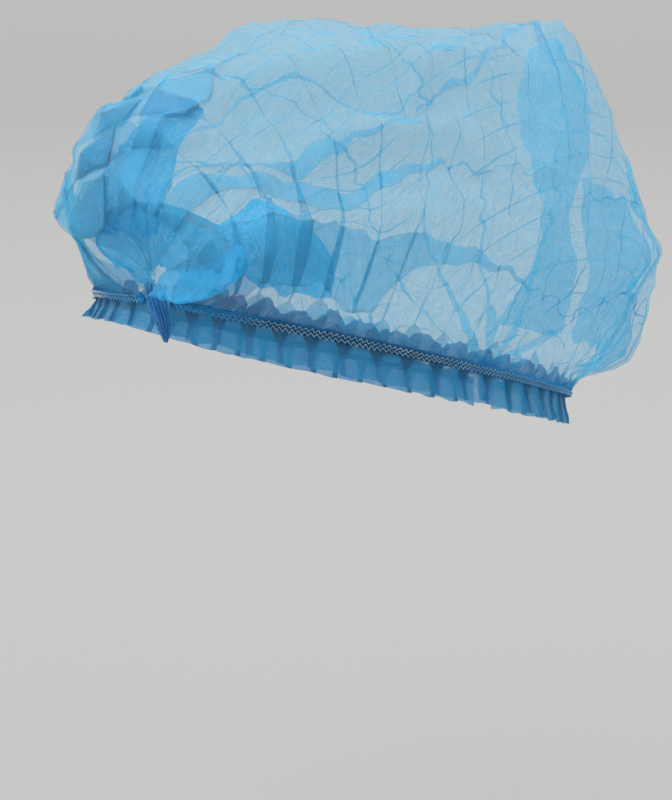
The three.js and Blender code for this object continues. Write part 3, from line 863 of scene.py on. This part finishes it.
# %% The folded ends
END_FOLDS = 5
END_ROWS = 26
END_OUT = 2.6             # how far the end stands out from the opening's tip
END_ASIDE = {"front": 7.0, "back": -2.0}   # how far its point hangs to a side, in millimetres
END_SEEDS = {"front": 51, "back": 52}
EndSection = namedtuple("EndSection", "height width lean")
END_SECTIONS = {
    "front": [EndSection(-12.5, 1.0, 0.8), EndSection(-8, 5.5, 0.4), EndSection(-3, 8.5, -0.4),
              EndSection(1, 9.5, -1.4), EndSection(5, 10, -2.6)],
    "back": [EndSection(-10.5, 4.0, 1.0), EndSection(-7, 7, 0.8), EndSection(-2, 9, 0.4),
             EndSection(3, 11, 0.2), EndSection(9, 14, 0.4)],
}


def end_grid(which):
    sections = END_SECTIONS[which]
    along = np.linspace(-1, 1, END_FOLDS * 6 + 1)[:, None]
    height = np.linspace(sections[0].height, sections[-1].height, END_ROWS)[None, :]
    width, lean = read_curves(height, sections)
    seed = END_SEEDS[which]
    fan = along * END_FOLDS * math.pi + 0.8 * cloth_noise(along * 3, height / 12, seed + 5)
    zigzag = np.arcsin(0.96 * np.sin(fan)) / 1.29
    shuffle = cloth_noise(along * 4, height / 7, seed)
    side = along * width / 2 + 0.5 * np.cos(along * END_FOLDS * math.pi) + 0.3 * shuffle
    depth = 1.5 + 0.9 * zigzag * smooth_step(width, 0.5, 6) + lean + 0.5 * shuffle
    ragged = 1.1 * cloth_noise(along * 7, 0 * height, seed + 3) * smooth_step(height, 2, 7.5)
    direction = -1 if which == "front" else 1
    seam_y = direction * HALF_LENGTH
    aside = END_ASIDE[which] * (1 - smooth_step(height, -12, 6))
    return np.stack(np.broadcast_arrays(
        aside - direction * side,
        seam_y + direction * (depth + END_OUT),
        -SLOPE * seam_y + height + ragged), axis=-1)


folded_ends = {which: sheet_mesh(f"folded_end_{which}", end_grid(which)) for which in END_SECTIONS}

# %% [markdown]
# At the front left one fold of the crown hangs out as a lip with a rolled edge, over a deep hollow.
# It is a sheet of its own that leaves the crown's surface, swells outward and curls under at its
# free edge.

# %% The hanging lip
LipSection = namedtuple("LipSection", "angle top edge out")
LIP_SECTIONS = [
    LipSection(1.0, 0.37, 0.31, 4.5), LipSection(3.5, 0.35, 0.225, 6.5),
    LipSection(7, 0.29, 0.18, 6.5), LipSection(10.5, 0.255, 0.165, 5.5),
    LipSection(14.5, 0.24, 0.17, 3.5), LipSection(20, 0.23, 0.19, 1),
]
LIP_COLUMNS, LIP_ROWS = 90, 44
CURL_START = 0.8          # share of the lip at which its edge begins to curl
CURL_TURN = math.pi * 1.1
CURL_RADIUS = 1.3


def lip_grid():
    angle = np.linspace(LIP_SECTIONS[0].angle, LIP_SECTIONS[-1].angle, LIP_COLUMNS)[:, None]
    share = np.linspace(0, 1, LIP_ROWS)[None, :]
    top, edge, swing = read_curves(angle, LIP_SECTIONS)
    pleat = cloth_noise(angle / 3.2, share * 1.4, 61)
    hang = np.minimum(share / CURL_START, 1)
    turn = np.clip((share - CURL_START) / 0.2, 0, 1) * CURL_TURN
    across = top + (edge - top) * hang + 0.008 * pleat * hang
    across = across - CURL_RADIUS * np.sin(turn) / arch_length(angle)
    ruffle = 1.2 * pleat + 0.8 * cloth_noise(angle / 1.3, share * 4, 62)
    out = 0.8 + swing * smooth_step(hang, 0.1, 1.0) - CURL_RADIUS * (1 - np.cos(turn))
    out = out + ruffle * smooth_step(share, 0.05, 0.5)
    angle = angle + 0 * across
    height = out + soft_relief(angle, across)
    return balloon(angle, across) + balloon_normal(angle, across) * height[..., None]


lip = sheet_mesh("hanging_lip", lip_grid())

# %% [markdown]
# In some places the strip lies doubled under itself: it is bunched at the front, and at the back
# two wide folds hang down. There the cloth of the crown gets more layers below it. Each is a sheet
# whose two edges are read from stations, either round the opening or over the cap.

# %% Layers under the crown
LayerEdge = namedtuple("LayerEdge", "along low high")
LAYERS = {
    "front": [
        LayerEdge(2, 0.12, 0.88), LayerEdge(6, 0.1, 0.93), LayerEdge(9, 0.08, 0.93),
        LayerEdge(12, 0.07, 0.88), LayerEdge(14.5, 0.06, 0.66), LayerEdge(15.8, 0.06, 0.5),
        LayerEdge(17, 0.06, 0.35), LayerEdge(19, 0.06, 0.3), LayerEdge(22, 0.05, 0.28),
        LayerEdge(26, 0.05, 0.29), LayerEdge(30, 0.05, 0.255), LayerEdge(35, 0.05, 0.2),
        LayerEdge(40, 0.05, 0.12),
    ],
    "back": [
        LayerEdge(104.5, 0.08, 0.2), LayerEdge(108, 0.06, 0.24), LayerEdge(118, 0.06, 0.235),
        LayerEdge(134, 0.06, 0.222), LayerEdge(142, 0.06, 0.19), LayerEdge(152, 0.06, 0.1),
    ],
    "crest": [
        LayerEdge(0.45, 12, 20), LayerEdge(0.465, 10, 29), LayerEdge(0.485, 9, 40),
        LayerEdge(0.52, 9, 45), LayerEdge(0.58, 9, 44), LayerEdge(0.64, 9, 36),
        LayerEdge(0.69, 9, 24), LayerEdge(0.71, 10, 18),
    ],
    "hanging": [
        LayerEdge(0.05, 80, 103), LayerEdge(0.1, 84, 101), LayerEdge(0.155, 88, 99.5),
        LayerEdge(0.2, 91, 101), LayerEdge(0.24, 92.5, 108), LayerEdge(0.3, 97, 118),
        LayerEdge(0.36, 107, 126), LayerEdge(0.4, 117, 127),
    ],
}
LAID_OVER = ("crest", "hanging")   # their stations follow each other over the cap
LAYER_COLUMNS, LAYER_ROWS = 90, 56
LAYER_DEPTH = 1.6         # how far a layer lies under the cloth above it
LAYER_RAGGED = 0.06       # how far its borders stray, as a share of its width


def layer_grid(name, number):
    edges = LAYERS[name]
    along = np.linspace(edges[0].along, edges[-1].along, LAYER_COLUMNS)[:, None]
    run = np.linspace(0, 1, LAYER_COLUMNS)[:, None]
    share = np.linspace(0, 1, LAYER_ROWS)[None, :]
    low, high = read_curves(along, edges)
    ragged = LAYER_RAGGED * (high - low)
    low = low + ragged * cloth_noise(run * 9, 0 * run, 81 + number)
    high = high + ragged * cloth_noise(run * 9, 0 * run, 91 + number)
    between, follow = low + (high - low) * share, along + 0 * share
    angle, across = (between, follow) if name in LAID_OVER else (follow, between)
    wrinkle = 0.7 * cloth_noise(angle / 2.6, across * 60, 101 + number)
    height = soft_relief(angle, across) + swell(angle, across) + wrinkle - SLACK - LAYER_DEPTH
    return balloon(angle, across) + balloon_normal(angle, across) * height[..., None]


layers = {}
for number, name in enumerate(LAYERS):
    grid = layer_grid(name, number)
    layers[name] = sheet_mesh(f"inner_layer_{name}", grid[:, ::-1] if name in LAID_OVER else grid)

# %% [markdown]
# The camera stands where the picture was taken from, 65 centimetres away and a little above the
# opening. It looks slightly below the cap's middle, which keeps the frame's shift at nothing.

# %% Camera
AZIMUTH, ELEVATION = 38.0, 13.3   # degrees
CAMERA_DISTANCE = 0.655   # metres
PICTURE_HEIGHT = 800.0    # pixels, as are the next three
FOCAL_LENGTH = 1778.0
AIM_DOWN, AIM_ASIDE = 56.0, 4.5
SENSOR_HEIGHT = 36.0      # millimetres


def look_along(azimuth, elevation):
    turn, lift = math.radians(azimuth), math.radians(elevation)
    return Vector((math.sin(turn) * math.cos(lift), -math.cos(turn) * math.cos(lift), math.sin(lift)))


toward = look_along(AZIMUTH, ELEVATION)
right = Vector((math.cos(math.radians(AZIMUTH)), math.sin(math.radians(AZIMUTH)), 0))
up = toward.cross(right)
lens = bpy.data.cameras.new("camera")
lens.sensor_fit = "VERTICAL"
lens.sensor_height = SENSOR_HEIGHT
lens.lens = SENSOR_HEIGHT * FOCAL_LENGTH / PICTURE_HEIGHT
lens.clip_start, lens.clip_end = 0.05, 20.0
aim = up * (-AIM_DOWN / FOCAL_LENGTH * CAMERA_DISTANCE)
aim = aim + right * (-AIM_ASIDE / FOCAL_LENGTH * CAMERA_DISTANCE)
camera = add_object("camera", lens)
camera.location = toward * CAMERA_DISTANCE
camera.rotation_euler = (camera.location - aim).to_track_quat("Z", "Y").to_euler()
bpy.context.scene.camera = camera
print("lens", round(lens.lens, 1), "mm")

# %% [markdown]
# A material is a net of nodes. Two helpers make it short to write: one adds a node and feeds each
# input with a value or with the output of another node, and one maps a range onto another.

# %% Nodes of a material
def add_node(tree, kind, inputs, **settings):
    """Add a node. inputs gives values, or outputs of other nodes, by name or number."""
    node = tree.nodes.new(f"ShaderNode{kind}")
    for name, value in settings.items():
        setattr(node, name, value)
    for key, value in inputs.items():
        if isinstance(value, bpy.types.NodeSocket):
            tree.links.new(value, node.inputs[key])
        else:
            node.inputs[key].default_value = value
    return node


def map_range(tree, value, source, target=(0.0, 1.0), **settings):
    node = add_node(tree, "MapRange", {
        "Value": value, "From Min": source[0], "From Max": source[1],
        "To Min": target[0], "To Max": target[1]}, **settings)
    return node.outputs["Result"]


def mix_colours(tree, factor, first, second):
    inputs = {"Factor": factor, "A": first, "B": second}
    return add_node(tree, "Mix", inputs, data_type="RGBA").outputs["Result"]


def new_material(name):
    """A material with its node tree, its main surface node and its place coordinates."""
    material = bpy.data.materials.new(name)
    material.use_nodes = True
    tree = material.node_tree
    return material, tree, tree.nodes["Principled BSDF"], add_node(tree, "TexCoord", {})


# %% [markdown]
# The cloth is a web of fine threads pressed together with heat. One layer lets most light through
# and looks almost colourless, two layers are clear blue, and folds of many layers turn deep blue.
# So the material is a thin coloured layer with gaps in it: a share of each layer is open, and the
# rest scatters light to both sides. Small bonded dots in rows are pressed clearer than the rest.

# %% Material of the cloth
BOND_SPACING = 0.0016     # metres from one bonded dot to the next
DOTS = 0.11               # how much less of the light a bonded dot stops
COVER_VARIES = 0.09       # how much the cover varies to each side, in clouds
DOT_COLOUR = (0.3, 0.68, 0.88, 1)
THROUGH_SHARE = 0.45      # share of the scattered light that goes through


def cloth_material(name, cover, colour, through, dots=DOTS):
    """Cloth that covers a share of what is behind it, with the colour of its face and of the
    light through it."""
    material, tree, face, place = new_material(name)
    uv = place.outputs["UV"]
    clouds = add_node(tree, "TexNoise", {"Vector": uv, "Scale": 260.0, "Detail": 3.0})
    cover_range = map_range(tree, clouds.outputs["Fac"], (0.3, 0.7),
                            (cover - COVER_VARIES, cover + COVER_VARIES))
    bonds = add_node(tree, "TexVoronoi", {
        "Vector": uv, "Scale": 1 / BOND_SPACING, "Randomness": 0.12})
    bond_dots = map_range(tree, bonds.outputs["Distance"], (0.2, 0.36), (-dots, 0.0),
                          interpolation_type="SMOOTHSTEP")
    pressed = add_node(tree, "Math", {0: cover_range, 1: bond_dots},
                       operation="ADD", use_clamp=True)

    crinkle = add_node(tree, "TexNoise", {
        "Vector": uv, "Scale": 420.0, "Detail": 5.0, "Distortion": 1.2})
    relief = add_node(tree, "Math", {0: crinkle.outputs["Fac"], 1: bond_dots}, operation="ADD")
    bump = add_node(tree, "Bump", {
        "Height": relief.outputs["Value"], "Strength": 0.7, "Distance": 0.0014})

    dot_shade = map_range(tree, bond_dots, (-DOTS, 0.0), (0.55 if dots else 0.0, 0.0))
    shade = mix_colours(tree, dot_shade, (*colour, 1), DOT_COLOUR)
    tree.links.new(shade, face.inputs["Base Color"])
    tree.links.new(bump.outputs["Normal"], face.inputs["Normal"])
    face.inputs["Roughness"].default_value = 0.38
    face.inputs["Sheen Weight"].default_value = 0.22
    glow = add_node(tree, "BsdfTranslucent", {
        "Color": (*through, 1), "Normal": bump.outputs["Normal"]})
    both = add_node(tree, "MixShader", {
        "Fac": THROUGH_SHARE, 1: face.outputs["BSDF"], 2: glow.outputs["BSDF"]})
    gaps = add_node(tree, "BsdfTransparent", {})
    mix = add_node(tree, "MixShader", {
        "Fac": pressed.outputs["Value"], 1: gaps.outputs["BSDF"], 2: both.outputs["Shader"]})
    output = tree.nodes["Material Output"]
    tree.links.new(mix.outputs["Shader"], output.inputs["Surface"])
    return material


crown_cloth = cloth_material("crown cloth", 0.33, (0.036, 0.46, 0.73), (0.032, 0.52, 0.79))
# The hem is deep blue: partly the layers of its pleats, partly painted shade under the elastic.
hem_cloth = cloth_material("hem cloth with painted shade", 0.8, (0.016, 0.22, 0.44), (0.018, 0.28, 0.54), 0)
layer_cloth = cloth_material("layered cloth", 0.55, (0.03, 0.44, 0.72), (0.03, 0.5, 0.79))
bunched_cloth = cloth_material("bunched cloth", 0.82, (0.016, 0.52, 0.88), (0.016, 0.56, 0.92))
lip_cloth = cloth_material("lip cloth", 0.55, (0.025, 0.48, 0.84), (0.025, 0.52, 0.88), 0)
# The folded ends are dark blue: partly their many layers, partly painted shade at the tips.
end_cloth_painted_shade = cloth_material("folded cloth with painted shade", 0.8, (0.014, 0.2, 0.48), (0.014, 0.24, 0.55), 0)
# The turned edge's cover stands for its layers; its dark colour is painted shade of the gathers.
turned_cloth_painted_shade = cloth_material("turned cloth with painted shade", 0.8, (0.01, 0.16, 0.38), (0.012, 0.2, 0.46), 0)
layer_cloths = {"front": bunched_cloth, "crest": bunched_cloth,
                "back": layer_cloth, "hanging": layer_cloth}


def cover_all(pieces, material):
    for piece in pieces:
        piece.data.materials.append(material)


cover_all([crown], crown_cloth)
cover_all([lip], lip_cloth)
for name, layer in layers.items():
    cover_all([layer], layer_cloths[name])
cover_all(hems.values(), hem_cloth)
cover_all(folded_ends.values(), end_cloth_painted_shade)
cover_all(turned_edges.values(), turned_cloth_painted_shade)

# %% [markdown]
# The tape lies in the deepest folds. It is painted navy along the front, as painted shade of the
# folds over it, and bluer at the front tip and toward the back. Its surface is dull. The thread is pale
# and greyish, and like the tape it is painted bluer toward the front tip and the back.

# %% Materials of the tape and the thread
FRONT_FADE = (-0.085, -0.094)   # where the tape turns bluer, along the cap in metres
BACK_FADE = (-0.05, 0.015)
# The first tape colour is navy painted shade of the deep folds along the front; the second is the
# tape's blue toward its ends.
TAPE_PAINTED_SHADE, TAPE_BLUE = (0.01, 0.07, 0.17, 1), (0.016, 0.21, 0.46, 1)
THREAD_DARK, THREAD_PALE = (0.13, 0.27, 0.38, 1), (0.36, 0.52, 0.6, 1)
THREAD_BLUE = (0.05, 0.27, 0.47, 1)


def bluer_ends(tree, place):
    """A factor that is 0 along the front, where the folds are deepest and the tape gets painted shade,
    and 1 toward the front tip and the back.
    """
    parts = add_node(tree, "SeparateXYZ", {"Vector": place})
    ends = [map_range(tree, parts.outputs["Y"], fade) for fade in (FRONT_FADE, BACK_FADE)]
    larger = add_node(tree, "Math", {0: ends[0], 1: ends[1]}, operation="MAXIMUM")
    return larger.outputs["Value"]


def tape_material():
    material, tree, surface, coordinates = new_material("tape cover")
    place = coordinates.outputs["Object"]
    fibres = add_node(tree, "TexNoise", {"Vector": place, "Scale": 700.0})
    bump = add_node(tree, "Bump", {
        "Height": fibres.outputs["Fac"], "Strength": 0.6, "Distance": 0.0006})
    # Navy painted shade along the front, the tape's blue toward the tips.
    shaded_tape_colour = mix_colours(tree, bluer_ends(tree, place), TAPE_PAINTED_SHADE, TAPE_BLUE)
    tree.links.new(shaded_tape_colour, surface.inputs["Base Color"])
    tree.links.new(bump.outputs["Normal"], surface.inputs["Normal"])
    surface.inputs["Roughness"].default_value = 0.95
    surface.inputs["Specular IOR Level"].default_value = 0.08
    return material


def thread_material():
    material, tree, surface, coordinates = new_material("stitching thread")
    place = coordinates.outputs["Object"]
    shade = add_node(tree, "TexNoise", {"Vector": place, "Scale": 90.0})
    ramp = add_node(tree, "ValToRGB", {"Fac": shade.outputs["Fac"]})
    dark, pale = ramp.color_ramp.elements
    dark.position, dark.color = 0.35, THREAD_DARK
    pale.position, pale.color = 0.65, THREAD_PALE
    faded = mix_colours(tree, bluer_ends(tree, place), ramp.outputs["Color"], THREAD_BLUE)
    tree.links.new(faded, surface.inputs["Base Color"])
    surface.inputs["Roughness"].default_value = 0.7
    surface.inputs["Sheen Weight"].default_value = 0.3
    return material


cover_all(elastics.values(), tape_material())
cover_all(threads, thread_material())

# %% [markdown]
# A wide pale floor far below the cap reaches to the horizon, and large soft lights round it leave no
# hard shadow. Away from the middle the floor is painted a darker grey, as painted shade.

# %% Floor
FLOOR_HEIGHT, FLOOR_RADIUS = -0.33, 30   # metres
# The far grey is painted shade: away from the middle the floor is painted darker.
NEAR_GREY, FAR_PAINTED_SHADE_GREY = (0.272, 0.272, 0.267, 1), (0.203, 0.203, 0.2, 1)
GREY_FADE = (0.9, 4.0)    # metres from the middle between which the floor turns darker

plane = bmesh.new()
bmesh.ops.create_circle(plane, cap_ends=True, segments=64, radius=FLOOR_RADIUS)
bmesh.ops.translate(plane, verts=plane.verts, vec=(0, 0, FLOOR_HEIGHT))
floor_mesh = bpy.data.meshes.new("floor")
plane.to_mesh(floor_mesh)
plane.free()
floor = add_object("floor", floor_mesh)
paper, paper_tree, paper_surface, paper_place = new_material("pale paper")
away = add_node(paper_tree, "VectorMath", {0: paper_place.outputs["Object"]}, operation="LENGTH")
# Painted shade: the floor grows darker with distance from the middle.
painted_shade_away = map_range(paper_tree, away.outputs["Value"], GREY_FADE)
greys = mix_colours(paper_tree, painted_shade_away, NEAR_GREY, FAR_PAINTED_SHADE_GREY)
paper_tree.links.new(greys, paper_surface.inputs["Base Color"])
paper_surface.inputs["Roughness"].default_value = 0.9
cover_all([floor], paper)

# %% Lights
Sun = namedtuple("Sun", "name azimuth elevation strength spread")
SUNS = [
    Sun("key light", 5, 62, 1.7, 45),
    Sun("fill light", 105, 30, 0.6, 70),
    Sun("front light", -35, 15, 1.5, 60),
    Sun("back light", 215, 50, 1.6, 45),
]
for sun in SUNS:
    light = bpy.data.lights.new(sun.name, "SUN")
    light.energy = sun.strength
    light.angle = math.radians(sun.spread)
    lamp = add_object(sun.name, light)
    lamp.location = look_along(sun.azimuth, sun.elevation) * 3
    lamp.rotation_euler = lamp.location.to_track_quat("Z", "Y").to_euler()

world = bpy.data.worlds.new("studio")
world.use_nodes = True
world.node_tree.nodes["Background"].inputs["Color"].default_value = (1, 1, 1, 1)
world.node_tree.nodes["Background"].inputs["Strength"].default_value = 0.9
scene = bpy.context.scene
scene.world = world
scene.view_settings.view_transform = "Standard"
scene.cycles.transparent_max_bounces = 32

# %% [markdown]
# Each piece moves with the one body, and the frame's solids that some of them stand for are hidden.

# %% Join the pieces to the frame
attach(crown, "root")
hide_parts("crown")
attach(lip, "root")
for name, layer in layers.items():
    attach(layer, "root")
for side, hem in hems.items():
    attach(hem, "root")
    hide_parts(f"hem_{side}")
for side, edge in turned_edges.items():
    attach(edge, "root")
for side, tape in elastics.items():
    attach(tape, "root")
    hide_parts(f"elastic_{side}")
for thread in threads:
    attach(thread, "root")
for which, end in folded_ends.items():
    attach(end, "root")
    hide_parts(f"tab_{which}")
